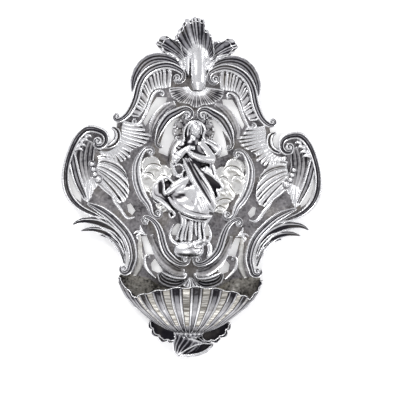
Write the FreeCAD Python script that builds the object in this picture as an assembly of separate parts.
"""Wall-hung holy water stoup in chased silver: a pierced back plate with scrolls, shells and leaves
soldered to its front, a standing figure on a globe, a fluted half basin, and a hanging ring behind.

Millimetres. +X right and +Z up as seen from the front, the front faces -Y and the wall is at +Y.
The outlines are written with z = 0 at the middle of the plate; the finished part is moved so that
its origin is the centre of the hanging ring, where it hangs on its nail.
"""

import FreeCAD
import Part
import math
import os
from FreeCAD import Vector

# ---------------------------------------------------------------- driving dimensions
SHEET = 1.2                # back plate
SHELL_EDGE = 1.3
FRAME_HEIGHT = 8.5         # relief of the scrolls that frame the figure
FRAME_WIDTH = 9.5
SHOULDER_HEIGHT = 9.5      # relief of the scrolls on the shoulders
SHOULDER_WIDTH = 7.0
THIN_SCROLL_HEIGHT = 5.0
THIN_SCROLL_WIDTH = 3.2
COVE_HEIGHT = 4.0
WING_SCROLL_HEIGHT = 10.0
WING_SCROLL_WIDTH = 6.5
WING_LEAF_HEIGHT = 6.0
SHELL_RIDGE = 4.6          # crests of the fluted shells
SHELL_VALLEY = 2.4
SHELL_RIM = 4.4
ACANTHUS_HEIGHT = 8.0
STEM_WIDTH = 8.5
CREST_HEIGHT = 15.0        # how far the crest leaf stands out
CREST_VALLEY = 11.0
SIDE_LEAF_HEIGHT = 9.0
LOW_LEAF_HEIGHT = 7.4      # leaves that lie over the shoulder scrolls
FIELD_HEIGHT = 2.6
CLOUD_HEIGHT = 4.5
PEARL_EMBED = 0.3          # flat ground off each pearl, as a share of its radius
GLOBE_RADIUS = 17.0
GLOBE_DEPTH = 14.0

BOWL_HALF_WIDTH = 70.0
BOWL_DEPTH = 56.0          # how far the basin stands out from its back
BOWL_WALL = 1.3
BOWL_BACK = 1.0
BOWL_FLUTES = 11           # counted round the front, with a matted band between each two
FLUTE_RELIEF = 0.032       # share of the local radius
BOWL_FOOT_Z = -155.0
RIM_CORNER_Z = -98.0
RIM_DIP_Z = -116.0
RIM_FRONT_Z = -103.5
COLLAR_RADIUS = 17.0
COLLAR_DROP = 7.0

RING_BORE_R = 8.0          # a nail or hook passes here
RING_BAND = 2.0            # radial width of the flat ring
RING_THICK = 1.6
HINGE_RISE = 12.4          # hinge bar above the centre of the ring
HINGE_BAR_R = 1.0
HINGE_PLAY = 0.08          # between the bar and the eye of its staple
LUG_SINK = 0.2             # overlap of each lug with the ring
LUG_INNER = 3.2            # the two lugs that carry the bar stand this far off the centre line
LUG_WIDTH = 1.4
LUG_OVER = 1.7             # height of a lug above the bar's axis
STAPLE_WIDTH = 4.0
STAPLE_WALL = 0.8
STAPLE_Z = 119.0

STUD_R = 1.5
STUD_PLAY = 0.08
NUT_SIDE = 7.0
NUT_THICK = 4.6            # the nuts keep the ring and its staple clear of the wall

CHORD_ERROR = 0.62         # a curved run's sections follow it this closely
SCALLOP = 0.07             # valleys of a shell's edge, as a share of its depth

SIDES = (("left", -1), ("right", 1))

# ---------------------------------------------------------------- derived places
EYE_R = HINGE_BAR_R + HINGE_PLAY
EYE_Y = EYE_R + STAPLE_WALL
RING_Z = STAPLE_Z - HINGE_RISE
CREST_STUD = (0.0, 91.0)
FIGURE_STUDS = ((-3.0, 20.0), (2.0, -26.0))
BOWL_STUDS = ((-42.0, -118.0), (42.0, -118.0))
PENDANT_STUD = (0.0, -160.5)
ALL_STUDS = (CREST_STUD, PENDANT_STUD) + FIGURE_STUDS + BOWL_STUDS


# ---------------------------------------------------------------- solid helpers
def place(x, out, z):
    """A point that stands `out` in front of the back plate's front face."""
    return Vector(x, -(SHEET + out), z)


def patch(corners):
    """Flat faces over three or four corners in order; equal corners are dropped."""
    kept = []
    for corner in corners:
        if all((corner - other).Length > 1e-6 for other in kept):
            kept.append(corner)
    if len(kept) < 3:
        return []
    if len(kept) == 3:
        groups = [kept]
    else:
        a, b, c, d = kept
        lift = (b - a).cross(c - a).dot(d - a)
        groups = [kept] if abs(lift) < 1e-7 else [[a, b, c], [a, c, d]]
    faces = []
    for group in groups:
        if (group[1] - group[0]).cross(group[-1] - group[0]).Length > 1e-9:
            faces.append(Part.Face(Part.makePolygon(group + [group[0]])))
    return faces


def loft(rings):
    """A closed solid through sections that have equal numbers of points."""
    faces = []
    count = len(rings[0])
    for here, there in zip(rings, rings[1:]):
        for j in range(count):
            k = (j + 1) % count
            faces += patch([here[j], here[k], there[k], there[j]])
    for end in (rings[0], rings[-1]):
        distinct = []
        for point in end:
            if all((point - other).Length > 1e-6 for other in distinct):
                distinct.append(point)
        if len(distinct) > 2:
            faces.append(Part.Face(Part.makePolygon(distinct + [distinct[0]])))
    solid = Part.Solid(Part.Shell(faces))
    if solid.Volume < 0:
        solid.reverse()
    return solid


def along(values, t):
    """The value at share t of a run whose control values are evenly spaced."""
    if not isinstance(values, (list, tuple)):
        return values
    spot = min(max(t, 0.0), 1.0) * (len(values) - 1)
    i = min(int(spot), len(values) - 2)
    return values[i] + (values[i + 1] - values[i]) * (spot - i)


def curve_through(points):
    curve = Part.BSplineCurve()
    curve.interpolate([Vector(x, 0, z) for x, z in points])
    return curve


def stations_on(points, count=None):
    """Places on a smooth curve: (share of its length, point, sideways direction).

    With a count they are evenly spaced; without one they crowd where the curve turns.
    """
    curve = curve_through(points)
    length = curve.length()
    first = curve.FirstParameter
    if count:
        spots = [curve.parameterAtDistance(length * i / count, first) for i in range(count + 1)]
    else:
        knots = [curve.parameter(Vector(x, 0, z)) for x, z in points]
        knots[0], knots[-1] = first, curve.LastParameter
        spots = [first]
        for here, there in zip(knots, knots[1:]):
            turn = curve.tangent(here)[0].getAngle(curve.tangent(there)[0])
            rise = (curve.value(there) - curve.value(here)).Length * turn / 8
            parts = max(1, math.ceil(math.sqrt(rise / CHORD_ERROR)))
            spots += [here + (there - here) * (i + 1) / parts for i in range(parts)]
    found = []
    for u in spots:
        forward = curve.tangent(u)[0]
        share = 0.0 if u == first else curve.length(first, u) / length
        found.append((share, curve.value(u), Vector(-forward.z, 0, forward.x)))
    return found


CHANNEL = ((-1, 0), (-0.82, 1), (-0.1, 0.45), (0.82, 1), (1, 0))
COVE = ((-1, 0), (-0.85, 1), (-0.4, 0.35), (1, 0.4), (1, 0))
ROUNDED = ((-1, 0), (-0.6, 0.9), (0.6, 0.9), (1, 0))
VEINED = ((-1, 0), (-0.95, 0.5), (0, 1), (0.95, 0.5), (1, 0))


def ribbon(points, widths, heights, profile, count=None):
    """A strip along a smooth curve; its section is `profile`, as shares of half width and height."""
    rings = []
    for share, middle, sideways in stations_on(points, count):
        half = along(widths, share) / 2
        high = along(heights, share)
        rings.append([place(middle.x + sideways.x * half * across, high * up,
                            middle.z + sideways.z * half * across) for across, up in profile])
    return loft(rings)


def curl(centre, start, sweep, outer, inner, count=4):
    """Points on a spiral, from radius `outer` to radius `inner`, angles in degrees."""
    points = []
    for i in range(count + 1):
        share = i / count
        angle = math.radians(start + sweep * share)
        radius = outer + (inner - outer) * share
        points.append((centre[0] + radius * math.cos(angle), centre[1] + radius * math.sin(angle)))
    return points


def button(centre, radius, height, sides=8):
    """A low domed boss, the eye of a volute, a puff of cloud or a pearl."""
    rx, rz = radius if isinstance(radius, tuple) else (radius, radius)
    rings = []
    for share, up in ((1.0, 0.0), (0.8, 0.75), (0.0, 1.0)):
        ring = []
        for i in range(sides):
            angle = 2 * math.pi * i / sides
            ring.append(place(centre[0] + rx * share * math.cos(angle), height * up,
                              centre[1] + rz * share * math.sin(angle)))
        rings.append(ring)
    return loft(rings)


def fan(inner, outer, low, high, rim):
    """A pleated shell between two lines of equal count: even points are valleys, odd are crests."""
    rings = []
    for i, (near, far) in enumerate(zip(inner, outer)):
        near_up = high if i % 2 else low
        far_up = rim * (1.0 if i % 2 else 0.6)
        rings.append([place(near[0], 0.0, near[1]), place(far[0], 0.0, far[1]),
                      place(far[0], far_up, far[1]), place(near[0], near_up, near[1])])
    return loft(rings)


def rays(centre, first, last, radii, ribs, scallop):
    """Points round a centre for a fan's edge; `scallop` pulls the valleys in."""
    points = []
    for i in range(2 * ribs + 1):
        share = i / (2 * ribs)
        angle = math.radians(first + (last - first) * share)
        radius = along(radii, share) * (1.0 if i % 2 else 1.0 - scallop)
        points.append((centre[0] + radius * math.cos(angle), centre[1] + radius * math.sin(angle)))
    return points


def ribs_between(inner, outer, ribs, scallop=0.0):
    """Points for a fan between two smooth lines; `scallop` pulls the valleys in from the outer line."""
    near = [(point.x, point.z) for _, point, _ in stations_on(inner, 2 * ribs)]
    far = []
    for i, (_, point, _) in enumerate(stations_on(outer, 2 * ribs)):
        share = 0.0 if i % 2 else scallop
        far.append((point.x + (near[i][0] - point.x) * share, point.z + (near[i][1] - point.z) * share))
    return near, far


def shell(side, inner, outer, ribs, low, high, rim):
    """A pleated shell or palmette between two smooth lines."""
    near, far = ribs_between(inner, outer, ribs, SCALLOP)
    return fan(flip(near, side), flip(far, side), low, high, rim)


def slab(outline, thickness, base=0.0):
    """A flat sheet cut to an outline."""
    corners = [place(x, base, z) for x, z in outline]
    face = Part.Face(Part.makePolygon(corners + [corners[0]]))
    return face.extrude(Vector(0, -thickness, 0))


def flip(points, side):
    return [(x * side, z) for x, z in points]


def both_sides(half):
    """A closed outline from its right half, listed from the top to the bottom."""
    return half + [(-x, z) for x, z in reversed(half) if abs(x) > 1e-9]


def rod(x, z, radius, y_from, y_to):
    return Part.makeCylinder(radius, y_to - y_from, Vector(x, y_from, z), Vector(0, 1, 0))


def shank(x, z, radius, y_from, y_to, sides=6):
    """A many-sided post along Y."""
    ring = [Vector(x + radius * math.cos(2 * math.pi * (i + 0.5) / sides), y_from,
                   z + radius * math.sin(2 * math.pi * (i + 0.5) / sides)) for i in range(sides)]
    return Part.Face(Part.makePolygon(ring + [ring[0]])).extrude(Vector(0, y_to - y_from, 0))


def stud(x, z, root=0.8):
    """A stud that leaves the back of a piece and ends flush with its nut."""
    return shank(x, z, STUD_R, -(SHEET + root), NUT_THICK)


def join(first, *others):
    whole = first
    for other in others:
        whole = whole.fuse(other)
    return whole


def biggest(shape):
    """The main solid that is left after a cut."""
    return max(shape.Solids, key=lambda s: s.Volume)


# ---------------------------------------------------------------- the back plate
PLATE_HALF = [(0, 127), (8, 126), (12, 116), (22, 113.5), (37, 113.5), (50, 106.5), (57.5, 95), (60.5, 82),
              (64, 71), (69.5, 62), (76, 57), (77.5, 49.5), (74.5, 44), (76, 36.5), (81, 31), (88, 28.5),
              (91.5, 31), (90, 42), (95, 48), (102, 49.5), (110, 46.5), (117, 38), (122.5, 27), (126.5, 15),
              (128.8, 3), (128, -8), (124, -19), (116.5, -28), (107, -33.5), (98, -35), (88, -39.5),
              (79, -46), (71, -53.5), (65, -61), (61.5, -70), (60.5, -80), (63, -88), (69.5, -93),
              (70, -101), (66, -113), (57, -123), (46, -132.5), (34, -141.5), (24, -149), (12, -156),
              (8, -166), (0, -167)]
SHOULDER_OPENING = [(27.5, 81.5), (38, 81.5), (43.7, 72.5), (48, 62), (51, 56.5), (48.7, 52), (42.5, 63),
                    (35, 71.5), (29, 76)]
HEAD_OPENING = [(14.5, 61), (21, 60), (28.2, 51.5), (32.2, 40), (35, 26.5), (24.5, 22.5), (20, 37), (18.8, 50)]
SKIRT_OPENING = [(11, -43), (15, -44.5), (19, -49), (19.5, -55), (14.5, -56), (11.5, -50)]
BRACKET_OPENING = [(50, -57.5), (44.5, -57), (41.5, -64), (35.5, -75.5), (45.5, -75)]
BRACKET_LOWER_OPENING = [(39.5, -84), (35.7, -79.5), (27.5, -91), (31.3, -93.9), (38.4, -91)]
WING_OPENING = [(123.2, 6.5), (118.6, -6.5), (110.3, -20), (110.5, -25), (116.3, -21), (120.6, -13.5),
                (122.9, -4.5)]
HOOK_OPENING = [(65, -26.5), (61.5, -25), (56.5, -32), (59.5, -36.5), (63.5, -33.5)]
OPENINGS = (SHOULDER_OPENING, HEAD_OPENING, SKIRT_OPENING, BRACKET_OPENING, BRACKET_LOWER_OPENING,
            WING_OPENING, HOOK_OPENING)


def ground_plate():
    """The pierced sheet that everything is soldered or screwed to."""
    plate = slab(both_sides(PLATE_HALF), SHEET, base=-SHEET)
    for opening in OPENINGS:
        for _, side in SIDES:
            plate = plate.cut(slab(flip(opening, side), 3 * SHEET, base=-2 * SHEET))
    for x, z in ALL_STUDS:
        plate = plate.cut(shank(x, z, STUD_R + STUD_PLAY, -2 * SHEET, SHEET))
    return plate


# ---------------------------------------------------------------- scrolls
def scroll(side, points, widths, height, eyes, profile=CHANNEL):
    """A channelled band with a round eye in each volute."""
    band = ribbon(flip(points, side), widths, height, profile)
    for centre, radius in eyes:
        top = height if not isinstance(height, (list, tuple)) else max(height)
        band = join(band, button((centre[0] * side, centre[1]), radius, 0.9 * top, sides=6))
    return biggest(band)


def frame_scroll_top(side):
    eye = (7.5, 65.0)
    path = curl(eye, 330, -250, 3.5, 6.2) + [(17.5, 67.2), (24.5, 63.2), (30.5, 56), (34.5, 47.5),
                                             (36.6, 39), (35.5, 32.5), (31.5, 31)]
    w = FRAME_WIDTH
    widths = [0.3 * w, 0.38 * w, 0.45 * w, 0.7 * w, w, 1.02 * w, 0.9 * w, 0.66 * w, 0.4 * w, 0.3 * w]
    return scroll(side, path, widths, FRAME_HEIGHT, [(eye, 3.0)])


def frame_scroll_middle(side):
    upper, lower = (44.0, 26.2), (34.6, -33.7)
    path = (curl(upper, 300, -230, 3.0, 4.6, 3) + [(54, 21.8), (56.9, 13.5), (57.2, 4.5), (55.8, -4), (53, -12),
            (49, -19.5), (44.2, -26.3)] + curl(lower, -50, -225, 5.2, 3.0, 3))
    w = FRAME_WIDTH
    widths = [0.28 * w, 0.33 * w, 0.45 * w, 0.7 * w, w, 1.04 * w, 1.04 * w, w, 0.8 * w, 0.5 * w,
              0.35 * w, 0.28 * w]
    return scroll(side, path, widths, FRAME_HEIGHT, [(upper, 2.6), (lower, 2.5)])


def frame_scroll_low(side):
    upper, lower = (46.0, -42.0), (6.7, -79.0)
    path = (curl(upper, -90, 230, 2.8, 4.4, 3) + [(34.6, -47), (31.3, -55), (29, -63.5), (25.8, -71.5),
            (20.3, -78)] + curl(lower, -65, -225, 5.4, 3.0, 3))
    w = FRAME_WIDTH
    widths = [0.28 * w, 0.33 * w, 0.4 * w, 0.6 * w, 0.72 * w, 0.75 * w, 0.75 * w, 0.72 * w, 0.55 * w,
              0.4 * w, 0.28 * w]
    return scroll(side, path, widths, FRAME_HEIGHT, [(upper, 2.4), (lower, 2.5)])


def shoulder_scroll(side):
    eye, foot = (19.3, 100.8), (77.5, 60.0)
    path = (curl(eye, 360, -260, 4.0, 8.6) + [(28.5, 112.6), (37.5, 111.2), (46, 107), (53, 99.5), (57.2, 90),
            (59.3, 80.5), (62.5, 71), (67.6, 62.3), (73, 57.8)] + curl(foot, -85, 200, 3.4, 2.4, 3))
    w = SHOULDER_WIDTH
    widths = [0.42 * w, 0.5 * w, 0.8 * w, w, w, w, 0.95 * w, 0.85 * w, 0.65 * w, 0.35 * w]
    return scroll(side, path, widths, SHOULDER_HEIGHT, [(eye, 3.2), (foot, 2.2)])


def thin_scroll(side):
    upper, lower = (34.5, 84.0), (59.0, 56.4)
    path = (curl(upper, 265, -210, 2.8, 4.2, 3) + [(41, 84.4), (43.6, 79.5), (46.2, 72.5), (48.6, 66),
            (51.6, 60)] + curl(lower, -135, 200, 4.0, 2.6, 3))
    widths = [0.7 * THIN_SCROLL_WIDTH, THIN_SCROLL_WIDTH, THIN_SCROLL_WIDTH, 0.65 * THIN_SCROLL_WIDTH]
    return scroll(side, path, widths, THIN_SCROLL_HEIGHT, [(upper, 2.0), (lower, 1.8)], ROUNDED)


def small_c_scroll(side):
    ball = (90.5, 31.5)
    path = [(80.2, 49.6), (77, 46.8), (75.8, 42), (77.2, 36.5), (81.5, 32), (87.5, 29.6)]
    return scroll(side, path, [2.5, 4.6, 4.8, 4.6, 3.5], WING_LEAF_HEIGHT, [(ball, 3.0)])


def wing_scroll(side):
    eye = (97.3, 37.0)
    path = (curl(eye, 370, -280, 4.2, 11.0, 5) + [(106.5, 47.2), (113, 42.5), (118.6, 34), (122.8, 24),
            (126, 13.5), (127.8, 3), (127.2, -8), (123.2, -18.5), (115.5, -27.5), (106, -33.2)])
    w = WING_SCROLL_WIDTH
    widths = [0.45 * w, 0.6 * w, 0.85 * w, 0.95 * w, w, w, 1.05 * w, 1.2 * w, 1.15 * w, 0.9 * w, 0.4 * w]
    heights = [0.8 * WING_SCROLL_HEIGHT, WING_SCROLL_HEIGHT, 0.85 * WING_SCROLL_HEIGHT,
               0.7 * WING_SCROLL_HEIGHT, 0.5 * WING_SCROLL_HEIGHT]
    return scroll(side, path, widths, heights, [(eye, 3.4)])


def bracket_curl(side):
    eye = (42.0, -78.2)
    path = (curl(eye, 150, -120, 2.6, 3.4, 2) + [(46.2, -82), (44.8, -88), (40.5, -93.6), (35, -98.5)])
    return scroll(side, path, [2.6, 3.4, 3.6, 3.0, 2.0], THIN_SCROLL_HEIGHT, [(eye, 1.8)], ROUNDED)


def upper_cove(side):
    path = [(20, 76), (28, 71.8), (35, 65.4), (40, 58), (43, 50), (44.4, 42)]
    cove = COVE if side < 0 else tuple((-a, b) for a, b in reversed(COVE))
    return ribbon(flip(path, side), [5.5, 8, 8.5, 8.5, 7, 4.5], COVE_HEIGHT, cove, 9)


def lower_cove(side):
    path = [(40, -55.5), (37.4, -63.5), (33.8, -71.8), (28.8, -79.8), (22, -86.6), (14, -91.4), (6.2, -92.6)]
    cove = tuple((-a, b) for a, b in reversed(COVE)) if side < 0 else COVE
    band = ribbon(flip(path, side), [4, 7, 9, 10, 10, 9.5, 8], COVE_HEIGHT, cove, 10)
    return biggest(join(band, button((4.6 * side, -94.2), 2.8, 1.2 * COVE_HEIGHT)))


# ---------------------------------------------------------------- shells and panels
def crest_shell():
    centre = (1.5, 95.0)
    inner = rays(centre, 196, 344, (9, 7, 9), 4, 0.0)
    outer = [(-27.5, 91), (-25.5, 84.5), (-22.5, 80.2), (-16.5, 76.8), (-9, 75.2), (-4.5, 73.4), (1.6, 71.8),
             (6.5, 73.6), (11.5, 74.8), (19, 76.4), (25, 80), (28, 84.5), (29.5, 91)]
    return shell(1, inner, outer, 8, SHELL_VALLEY, SHELL_RIDGE, SHELL_RIM)


def rocaille_panel(side):
    """Ribs that fill the shoulder between its big scroll and the thin one."""
    inner = [(25, 92), (32, 90.2), (38.5, 89.5), (44, 85.5), (46.5, 79), (50, 69), (56, 60.5)]
    outer = [(23.5, 107.5), (31, 108.2), (38.5, 106.5), (46, 101.5), (52, 92), (55, 82), (58.5, 71.5), (64.5, 61.5)]
    return shell(side, inner, outer, 9, SHELL_VALLEY, SHELL_RIDGE, SHELL_RIM)


def upper_shell(side):
    inner = [(68.8, 55.5), (70.4, 48), (71.2, 42), (73.4, 35), (79, 29.5), (86, 26.8), (93.5, 26)]
    outer = [(50, 55.5), (46, 47), (43, 38.5), (49, 34.7), (56, 31), (61.3, 25.9), (65, 19), (72, 13.4), (82, 11.8),
             (93, 14.5)]
    return shell(side, inner, outer, 9, SHELL_VALLEY, SHELL_RIDGE, SHELL_RIM)


def lower_shell(side):
    """The lower shell of a wing, with its plain edging and the small hook that trails from its foot."""
    inner = [(97.5, 13), (96.3, 10), (96.2, 7), (97.5, 3), (99.5, -0.5)]
    outer = [(80, 8.6), (72, 8.2), (66.4, 4.4), (64.2, -2.5), (63.8, -10), (62.6, -17), (65.5, -23.5), (71.5, -24.5),
             (77.5, -22.5)]
    pleats = shell(side, inner, outer, 7, SHELL_VALLEY, SHELL_RIDGE, SHELL_RIM)
    edging = ribbon(flip([(101, -0.5), (93, -6.2), (85.5, -13), (78, -20.5)], side), [3, 5, 5, 2.4], SHELL_RIM,
                    ROUNDED, 3)
    hook = ribbon(flip([(80, -18.5), (77.5, -24), (73.5, -28.5), (69, -35), (63.5, -39.8), (57.2, -38.6)], side),
                  [2.4, 3.6, 4.0, 3.6, 2.8, 1.8], THIN_SCROLL_HEIGHT, ROUNDED, 5)
    return join(pleats, edging, hook)


def small_fan():
    inner = rays((0.0, -95.5), 236, 304, 2.2, 3, 0.0)
    outer = rays((0.0, -95.5), 234, 306, (13.2, 11.6, 13.2), 3, 0.06)
    return fan(inner, outer, SHELL_EDGE, SHELL_RIDGE, SHELL_RIDGE)


def cloud_panel(side):
    puffs = [((42, 13), (10.5, 10.5), 1.0), ((30, 5), (9, 12), 0.8), ((44, -4), (9, 11), 0.9),
             ((34, -13), (10.5, 9), 1.0), ((28, -24), (10, 9), 0.9)]
    panel = None
    for centre, radius, share in puffs:
        puff = button((centre[0] * side, centre[1]), radius, CLOUD_HEIGHT * share)
        panel = puff if panel is None else join(panel, puff)
    return biggest(panel)


def halo_cloud():
    """Small puffs in a horseshoe round the head."""
    head = (-1.0, 48.0)
    cloud = None
    for i in range(7):
        angle = math.radians(-38 + 256 * i / 6)
        spot = (head[0] + 16.0 * math.cos(angle), head[1] + 13.5 * math.sin(angle))
        puff = button(spot, 7.4, CLOUD_HEIGHT * (1.2 if i % 2 else 1.0), sides=6)
        cloud = puff if cloud is None else join(cloud, puff)
    return biggest(cloud)


# ---------------------------------------------------------------- leaves
def leaf(side, points, widths, heights, count, lobes=0.16, profile=VEINED):
    """A blade on a curved midrib, with a lobed edge."""
    rings = []
    for i, (share, middle, sideways) in enumerate(stations_on(flip(points, side), count)):
        swell = 1 + (lobes if i % 2 else -lobes)
        half = along(widths, share) / 2 * (1 if i in (0, count) else swell)
        high = along(heights, share)
        rings.append([place(middle.x + sideways.x * half * across, high * up,
                            middle.z + sideways.z * half * across) for across, up in profile])
    return loft(rings)


def crest_centre():
    """A trunk with a round foot; the leaf opens from its top like a flame."""
    h = CREST_HEIGHT
    trunk = ribbon([(2.4, 89), (2.4, 93), (2.2, 101), (2.1, 110), (1.7, 119), (1.0, 128)],
                   [9, 15.5, 16, 15.4, 14, 11], [0.8 * h, h, h, 0.93 * h, 0.85 * h], ROUNDED, 6)
    inner = [(-7, 120), (-5.5, 125), (-2.5, 126.5), (1.2, 127), (4.8, 126), (7.6, 123), (9.4, 118.5)]
    outer = [(-11.5, 127.5), (-15, 133.5), (-15.8, 139), (-16.4, 144.5), (-17.4, 151), (-15.8, 156.5), (-10.5, 160.4),
             (-4.8, 163.2), (0.4, 162.6), (4.4, 158.6), (5.4, 153.5), (9.5, 148), (13.4, 143), (14.6, 136),
             (12.6, 126)]
    flame = shell(1, inner, outer, 8, CREST_VALLEY, 0.8 * h, 0.95 * h)
    return join(trunk, flame, stud(*CREST_STUD, root=4.0))


def crest_side(side):
    inner = [(8, 101), (9, 109), (9.5, 116), (10.5, 123), (11.5, 129)]
    outer = [(15.5, 113), (22, 121.5), (31.5, 124.6), (37.5, 129), (40, 134.5), (36.5, 138.5), (32.5, 141.5),
             (27.5, 139), (22, 138.5), (15, 136)]
    h = SIDE_LEAF_HEIGHT
    return shell(side, inner, outer, 6, 0.8 * h, 0.95 * h, h)


def shoulder_leaf(side):
    inner = [(13, 107.5), (20, 113.2), (30, 114.2), (39.3, 112.2), (47.6, 107.2), (53.8, 99.4), (57.6, 90.6)]
    outer = [(22.5, 120.2), (31.5, 123.4), (41, 124), (49, 121.6), (54.8, 115.8), (58.5, 109), (62.8, 102),
             (65, 95), (66.2, 88), (63.8, 82.6)]
    h = LOW_LEAF_HEIGHT
    return shell(side, inner, outer, 9, 0.7 * h, 0.85 * h, h)


def wing_leaf(side):
    """The long leaf inside a wing's scroll, with the soft field and the ragged foot that are cast with it."""
    path = [(120.4, 27), (119.8, 20), (117.8, 12), (115.4, 3), (112.4, -6), (109, -13.4), (106, -20)]
    blade = ribbon(flip(path, side), [4, 7, 8, 7.4, 5.4, 3], WING_LEAF_HEIGHT, ROUNDED, 6)
    field = ribbon(flip([(104, 33), (106.8, 24), (107.4, 13), (105.4, 2), (102.4, -8)], side), [8, 13, 14, 12, 9],
                   FIELD_HEIGHT, ROUNDED, 4)
    foot = shell(side, [(107, -4), (103.5, -3), (100, -1)],
                 [(109.3, -20.5), (106, -25), (101.5, -21.5), (99, -15), (94, -9)], 3, SHELL_RIM, SHELL_RIM,
                 SHELL_RIM)
    return join(blade, field, foot)


def acanthus_spray(side):
    """The stem beside the basin, curled at its foot, with three long blades that leave it outwards."""
    ball = (66.6, -89.3)
    path = ([(103, -27.2), (93.5, -31.2), (83, -37.6), (74, -45.6), (66.4, -54), (61.4, -63), (59, -72),
             (58.6, -81), (60.6, -88)] + curl(ball, 215, 150, 5.2, 3.4, 3))
    w = STEM_WIDTH
    stem = scroll(side, path, [0.4 * w, 0.8 * w, w, w, w, 0.9 * w, 0.7 * w, 0.4 * w], ACANTHUS_HEIGHT, [(ball, 2.6)])
    h = ACANTHUS_HEIGHT * 0.8
    upper = leaf(side, [(64.5, -74), (68, -64), (74.5, -54.5), (83.5, -47.6), (93.5, -43.6), (104, -42.6),
                        (112, -43.6), (118.2, -47.4)], [4, 6.5, 7.5, 7, 6.5, 5.4, 4.2, 1.2], h, 8, 0.05)
    middle = leaf(side, [(66.5, -82), (68.8, -73), (73.2, -64.5), (79.5, -57.8), (87.5, -53.2), (95.5, -51.4),
                         (103, -51.6), (110, -53.2)], [3, 5, 6, 6, 5.2, 4.4, 3.2, 1.2], h, 7, 0.05)
    lower = leaf(side, [(64, -85), (68.5, -77.5), (73, -69.5), (78.5, -63), (85, -58.6), (91, -57)],
                 [2.5, 4.4, 4.8, 4.2, 3, 1.2], h, 4, 0.05)
    return biggest(join(stem, upper, middle, lower))


def under_leaf(side):
    path = [(31.3, -91.5), (28.4, -97.5), (21.5, -101.4), (13, -101.8), (6.4, -99)]
    return leaf(side, path, [3, 8.5, 9, 7.5, 3], SIDE_LEAF_HEIGHT * 0.8, 8, 0.1)


def bracket_leaf(side):
    return leaf(side, [(44.5, -55), (49, -51.8), (54.6, -50.4)], [1.6, 3.8, 1.6], 3.5, 6, 0.0)


def pendant_side(side):
    inner = [(12, -153), (16, -150), (21, -147.5), (27, -144), (33, -140.5)]
    outer = [(13.5, -159.5), (19, -163.2), (26, -162.4), (32.5, -159), (38.8, -153.5), (42, -146), (42.4, -140)]
    h = SIDE_LEAF_HEIGHT
    return shell(side, inner, outer, 5, 0.65 * h, 0.75 * h, 0.85 * h)


def pendant_centre():
    """A ribbed neck below the basin and a leaf that curls over at its end."""
    neck = ribbon([(0, -157.2), (0, -161), (0, -167)], [25, 19, 22], 11, VEINED, 4)
    curled = leaf(1, [(-17.5, -165.5), (-10.5, -171.8), (-1.5, -173.2), (8, -170.8), (16, -166.4),
                      (22.6, -160.6)], [2, 9, 11, 10.5, 9, 2], 13, 9, 0.05)
    return join(neck, curled, stud(*PENDANT_STUD, root=4.0))


def pearl_row(side):
    """Four graded pearls, each ground flat where it is soldered."""
    pearls = []
    for x, z, radius in ((102.2, 15.3, 2.5), (101.4, 9.8, 2.3), (99.9, 4.9, 2.3), (95.8, -0.6, 3.1)):
        pearls.append(button((x * side, z), radius, radius * (2 - PEARL_EMBED)))
    return Part.makeCompound(pearls)


# ---------------------------------------------------------------- the figure and what it stands on
def limb(stops, sides=8):
    """A tapering solid through stops (x, out, z, half width, half depth)."""
    rings = []
    for x, out, z, wide, deep in stops:
        ring = []
        for i in range(sides):
            angle = 2 * math.pi * (i + 0.5) / sides
            ring.append(place(x + wide * math.cos(angle), out + deep * math.sin(angle), z))
        rings.append(ring)
    return loft(rings)


def swathe(stops, sides=5):
    """A round strand through stops (x, out, z, radius) whose sections face along the run."""
    rings = []
    for i, (x, out, z, radius) in enumerate(stops):
        before, after = stops[max(i - 1, 0)], stops[min(i + 1, len(stops) - 1)]
        run = Vector(after[0] - before[0], -(after[1] - before[1]), after[2] - before[2]).normalize()
        across = run.cross(Vector(0, 1, 0)).normalize()
        up = across.cross(run)
        middle = place(x, out, z)
        rings.append([middle + across * radius * math.cos(2 * math.pi * k / sides)
                      + up * radius * math.sin(2 * math.pi * k / sides) for k in range(sides)])
    return loft(rings)


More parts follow.
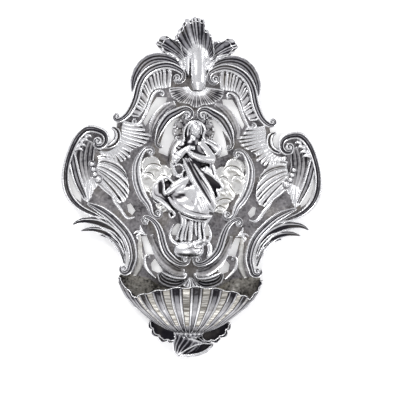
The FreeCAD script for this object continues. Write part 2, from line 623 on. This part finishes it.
def figure():
    body = limb([(-2.0, 8, 41, 4.0, 4), (-2.0, 8, 37.5, 10.0, 6), (-2.2, 8, 30, 11.5, 9), (-2.6, 8, 20, 9.5, 9),
                 (-1.5, 8, 12, 8.5, 8.5), (-0.5, 8, 3, 11.5, 10), (2.0, 8, -9, 14.5, 11.5),
                 (4.0, 9, -21, 14.0, 12.5), (3.0, 8, -33, 12.5, 11), (-0.5, 8, -44, 10.5, 9.5),
                 (-1.5, 8, -57, 11.5, 10)], 8)
    head = limb([(-1.6, 14, 60.5, 2.5, 2.5), (-1.6, 14, 57.5, 5.4, 5.6), (-1.6, 14, 52, 6.8, 7.2),
                 (-1.6, 14, 46.5, 5.8, 6.4), (-1.8, 13, 41, 3.0, 4)], 8)
    veil = limb([(-1.6, 7, 61.5, 4, 4), (-1.6, 7, 57, 8.5, 7), (-1.6, 7, 50, 10.5, 8), (-1.8, 7, 42, 11, 7),
                 (-2.0, 7, 36, 11, 6)], 8)
    right_arm = swathe([(-11, 12, 36, 4.2), (-15.5, 13, 27, 4.8), (-17.5, 14, 20.5, 4.8), (-11, 18, 25, 4.2),
                        (-3.5, 20, 31.5, 3.0)])
    left_arm = swathe([(7.5, 12, 36, 4.2), (13.5, 13, 28, 4.8), (18, 14, 20.5, 4.8), (8, 18, 23.5, 4.0),
                       (-2.5, 20, 29.5, 3.0)])
    cloak = swathe([(6, 8, 37, 5), (15, 9, 34.5, 4.6), (24, 9, 28.5, 4.0), (21, 9, 23, 2.5)])
    sleeve = swathe([(-16, 10, 22, 4.5), (-20.5, 10, 14, 4.2), (-17, 10, 6, 3.4), (-10, 9, 8, 3.0)])
    billow = swathe([(-6, 9, -2, 6), (-18, 9, -4, 6), (-30, 9, -7, 6), (-37, 8, -13, 4.5), (-32, 8, -22, 4.2),
                     (-25, 8, -29, 3.8), (-20.5, 8, -36, 2.6)])
    right_fold = swathe([(6, 9, 9, 5.5), (15, 9, 4, 5.5), (24, 9, -4.5, 5.0), (22, 8, -12, 4.0),
                         (20, 8, -19, 3.0)])
    sash = swathe([(-8, 15, 17, 4.0), (-1, 17, 3, 4.6), (8, 18, -12, 4.8), (15, 15, -25, 4.0),
                   (17, 12, -31, 3.0)])
    hem = swathe([(-24, 8, -19, 4), (-15, 12, -30, 4.5), (-3, 15, -36, 4.6), (10, 13, -36, 4.0),
                  (15, 9, -34, 3.0)])
    whole = join(body, head, veil, right_arm, left_arm, cloak, sleeve, billow, right_fold, sash, hem)
    behind = Part.makeBox(200, 40, 300, Vector(-100, -SHEET, -150))
    whole = biggest(whole.cut(behind))
    return join(whole, *[stud(x, z, root=5.0) for x, z in FIGURE_STUDS])


def globe():
    return button((-2.5, -70.0), (GLOBE_RADIUS, 10.5), GLOBE_DEPTH, sides=16)


def serpent():
    strand = swathe([(-5, 12.0, -63.2, 1.4), (1, 13.5, -62.8, 2.6), (6, 13.0, -65.5, 2.8), (4, 14.5, -69.5, 2.4),
                     (-2, 15.5, -71.5, 2.0), (-8, 14.0, -72.5, 1.4)])
    coil = swathe([(12, 3.6, -60.5, 3.4), (17.2, 4.2, -66, 4.0), (18.2, 4.2, -72, 4.0), (15.5, 3.6, -77.5, 3.0)])
    link = swathe([(5.5, 12.5, -64, 2.2), (10, 9.5, -61.5, 2.6), (13, 4.0, -61.5, 3.2)])
    whole = join(strand, coil, link)
    behind = Part.makeBox(200, 40, 300, Vector(-100, -SHEET, -200))
    return biggest(whole.cut(behind))


def crescent_moon():
    path = [(-18.2, -44.5), (-21.4, -52), (-20.5, -59.5), (-13, -64.5), (-1, -66), (11, -64.5), (18, -59.5),
            (18.8, -52), (15.3, -43)]
    return ribbon(path, [1.2, 3.4, 4.4, 5.4, 6, 5.4, 4.4, 3.4, 1.2], 4.5, ROUNDED, 12)


# ---------------------------------------------------------------- the basin
BOWL_SIDE = ((1.02, -96.0), (1.0, -104.0), (0.965, -111.0), (0.905, -118.0), (0.80, -126.5), (0.64, -135.5),
             (0.50, -143.0), (0.34, -149.2), (0.18, -153.3), (0.0, -155.0))


def bowl_share(z):
    """Half width of the basin at height z, as a share of its greatest."""
    for (above, high), (below, low) in zip(BOWL_SIDE, BOWL_SIDE[1:]):
        if low <= z <= high:
            return below + (above - below) * (z - low) / (high - low)
    return BOWL_SIDE[0][0] if z > BOWL_SIDE[0][1] else 0.0


def rim_height(angle):
    """The rim falls from each back corner, then rises to the front; angle is 0 to pi."""
    side = abs(math.cos(angle))
    dip = 0.87
    if side > dip:
        return RIM_DIP_Z + (RIM_CORNER_Z - RIM_DIP_Z) * ((side - dip) / (1 - dip)) ** 1.2
    return RIM_DIP_Z + (RIM_FRONT_Z - RIM_DIP_Z) * (1 - (side / dip) ** 2)


def bowl():
    """The fluted front of the half basin, open at its back against the back sheet."""
    levels = (0.0, 0.25, 0.5, 0.72, 0.89, 1.0)
    slices = 3 * BOWL_FLUTES
    rings = []
    for i in range(slices + 1):
        angle = math.pi * i / slices
        rim = rim_height(angle)
        swell = 1 + (FLUTE_RELIEF if i % 3 else 0.0)
        outside, inside = [], []
        for level in levels:
            z = rim + (BOWL_FOOT_Z - rim) * level
            share = bowl_share(z)
            relief = swell if share > 0.3 else 1.0
            wide = BOWL_HALF_WIDTH * share * relief
            deep = BOWL_DEPTH * share * relief
            outside.append((wide * math.cos(angle), deep * math.sin(angle), z))
            thick = BOWL_WALL if share > 0.05 else 0.0
            lift = BOWL_WALL * (0.0 if level == 0.0 else 1 - share ** 2)
            inside.append((max(wide - thick, 0.0) * math.cos(angle), max(deep - thick, 0.0) * math.sin(angle),
                           z + lift))
        ring = outside + inside[::-1]
        rings.append([place(x, BOWL_BACK + y, z) for x, y, z in ring])
    return loft(rings)


def bowl_back():
    """The sheet that closes the half basin against the plate, with its fixing studs."""
    half = [(0, -109), (0.343, -109), (0.479, -104.5), (0.586, -99), (0.7, -97.4), (0.829, -95.6), (1.011, -96.5),
            (1.02, -104), (0.971, -112), (0.886, -120.5), (0.757, -129.5), (0.614, -138), (0.471, -145),
            (0.314, -151.5), (0.157, -155.8), (0, -156.6)]
    sheet = slab(both_sides([(share * BOWL_HALF_WIDTH, z) for share, z in half]), BOWL_BACK)
    return join(sheet, *[stud(x, z, root=BOWL_BACK / 2) for x, z in BOWL_STUDS])


def bowl_collar():
    """Small gadroons round the foot of the basin."""
    lobes = 5
    rings = []
    for i in range(2 * lobes + 1):
        angle = math.pi * i / (2 * lobes)
        reach = COLLAR_RADIUS * (1.0 if i % 2 else 0.9)
        low = COLLAR_RADIUS * (0.66 if i % 2 else 0.6)
        section = [(0.0, BOWL_FOOT_Z + 3.0), (reach, BOWL_FOOT_Z + 4.8), (reach, BOWL_FOOT_Z + 3.0),
                   (low, BOWL_FOOT_Z + 4.8 - COLLAR_DROP), (0.0, BOWL_FOOT_Z + 4.8 - COLLAR_DROP)]
        rings.append([place(r * math.cos(angle), BOWL_BACK + r * math.sin(angle), z) for r, z in section])
    return loft(rings)


# ---------------------------------------------------------------- hanging and fixing pieces
def hanging_staple():
    """An eye soldered to the back of the plate; the hinge bar of the ring turns in it."""
    left = -STAPLE_WIDTH / 2
    block = Part.makeBox(STAPLE_WIDTH, EYE_Y, 2 * EYE_Y, Vector(left, 0, STAPLE_Z - EYE_Y))
    back = cross_bar(EYE_Y, STAPLE_WIDTH)
    return join(block, back).cut(cross_bar(EYE_R, 3 * STAPLE_WIDTH)).removeSplitter()


def cross_bar(radius, length, middle=0.0):
    """A round bar along X on the hinge line."""
    return Part.makeCylinder(radius, length, Vector(middle - length / 2, EYE_Y, STAPLE_Z), Vector(1, 0, 0))


def hanging_ring():
    """A flat ring with two lugs and the bar that it swings on."""
    front = EYE_Y - RING_THICK / 2
    ring = shank(0, RING_Z, RING_BORE_R + RING_BAND, front, front + RING_THICK, 24)
    lug_foot = RING_Z + RING_BORE_R - LUG_SINK
    for _, side in SIDES:
        middle = side * (LUG_INNER + LUG_WIDTH / 2)
        lug = Part.makeBox(LUG_WIDTH, RING_THICK, STAPLE_Z + LUG_OVER - lug_foot,
                           Vector(middle - LUG_WIDTH / 2, front, lug_foot))
        ring = join(ring, lug)
    ring = join(ring, cross_bar(HINGE_BAR_R, 2 * (LUG_INNER + LUG_WIDTH)))
    return ring.cut(rod(0, RING_Z, RING_BORE_R, front - 1, front + RING_THICK + 1)).removeSplitter()


def square_nuts():
    nuts = []
    for x, z in ALL_STUDS:
        block = Part.makeBox(NUT_SIDE, NUT_THICK, NUT_SIDE, Vector(x - NUT_SIDE / 2, 0, z - NUT_SIDE / 2))
        nuts.append(block.cut(shank(x, z, STUD_R + STUD_PLAY, -1, NUT_THICK + 1)))
    return Part.makeCompound(nuts)


# ---------------------------------------------------------------- assembly
GROUPS = ("pearl_row", "crescent_moon")     # nodes that are groups of separate solids
LEAST_PIECE = 5.0                           # mm3; a smaller remnant of a cut is dropped


def mirrored_pairs(stem, build):
    return [(stem + "_" + word, build(side)) for word, side in SIDES]


def front_pieces():
    """Pieces on the front of the plate, from the topmost layer down: each gives way to those before it."""
    pieces = [("virgin_figure", figure()), ("serpent", serpent()), ("globe", globe()),
              ("crest_leaf_centre", crest_centre()), ("bowl", bowl())]
    pieces += mirrored_pairs("frame_scroll_top", frame_scroll_top)
    pieces += mirrored_pairs("frame_scroll_middle", frame_scroll_middle)
    pieces += mirrored_pairs("frame_scroll_low", frame_scroll_low)
    pieces += mirrored_pairs("shoulder_scroll", shoulder_scroll)
    pieces += mirrored_pairs("wing_scroll", wing_scroll)
    pieces += mirrored_pairs("small_c_scroll", small_c_scroll)
    pieces += mirrored_pairs("acanthus_spray", acanthus_spray)
    pieces += mirrored_pairs("pearl_row", pearl_row)
    pieces += mirrored_pairs("wing_leaf", wing_leaf)
    pieces += mirrored_pairs("crest_leaf_side", crest_side)
    pieces += mirrored_pairs("shoulder_leaf", shoulder_leaf)
    pieces += mirrored_pairs("thin_scroll", thin_scroll)
    pieces += mirrored_pairs("under_leaf", under_leaf)
    pieces += mirrored_pairs("bracket_curl", bracket_curl)
    pieces += mirrored_pairs("bracket_leaf", bracket_leaf)
    pieces += [("bowl_back_sheet", bowl_back()), ("bowl_foot_collar", bowl_collar()),
               ("pendant_leaf_centre", pendant_centre())]
    pieces += mirrored_pairs("pendant_leaf_side", pendant_side)
    pieces += mirrored_pairs("upper_shell", upper_shell)
    pieces += mirrored_pairs("lower_shell", lower_shell)
    pieces += [("small_fan", small_fan()), ("crest_shell", crest_shell())]
    pieces += mirrored_pairs("rocaille_panel", rocaille_panel)
    pieces += mirrored_pairs("upper_cove", upper_cove)
    pieces += mirrored_pairs("lower_cove", lower_cove)
    pieces += [("crescent_moon", crescent_moon()), ("halo_cloud", halo_cloud())]
    pieces += mirrored_pairs("cloud_panel", cloud_panel)
    return pieces


def fitted(pieces):
    """Each piece is cut where one above it already stands."""
    done = []
    for name, shape in pieces:
        box = shape.BoundBox
        for _, above in done:
            if box.intersect(above.BoundBox) and shape.common(above).Volume > 1e-4:
                shape = shape.cut(above)
        if name.startswith(GROUPS):
            shape = Part.makeCompound([solid for solid in shape.Solids if solid.Volume > LEAST_PIECE])
        else:
            shape = biggest(shape)
        done.append((name, shape.removeSplitter()))
    return done


def build():
    os.makedirs("parts", exist_ok=True)
    nodes = [("ground_plate", ground_plate())] + fitted(front_pieces())
    nodes += [("hanging_staple", hanging_staple()), ("hanging_ring", hanging_ring()),
              ("square_nuts", square_nuts())]
    to_origin = Vector(0, -EYE_Y, -RING_Z)
    for name, shape in nodes:
        shape = shape.copy()
        shape.translate(to_origin)
        shape.exportStep("parts/" + name + ".step")
        print(name, len(shape.Solids), len(shape.Faces), round(shape.Volume), shape.isValid())


build()
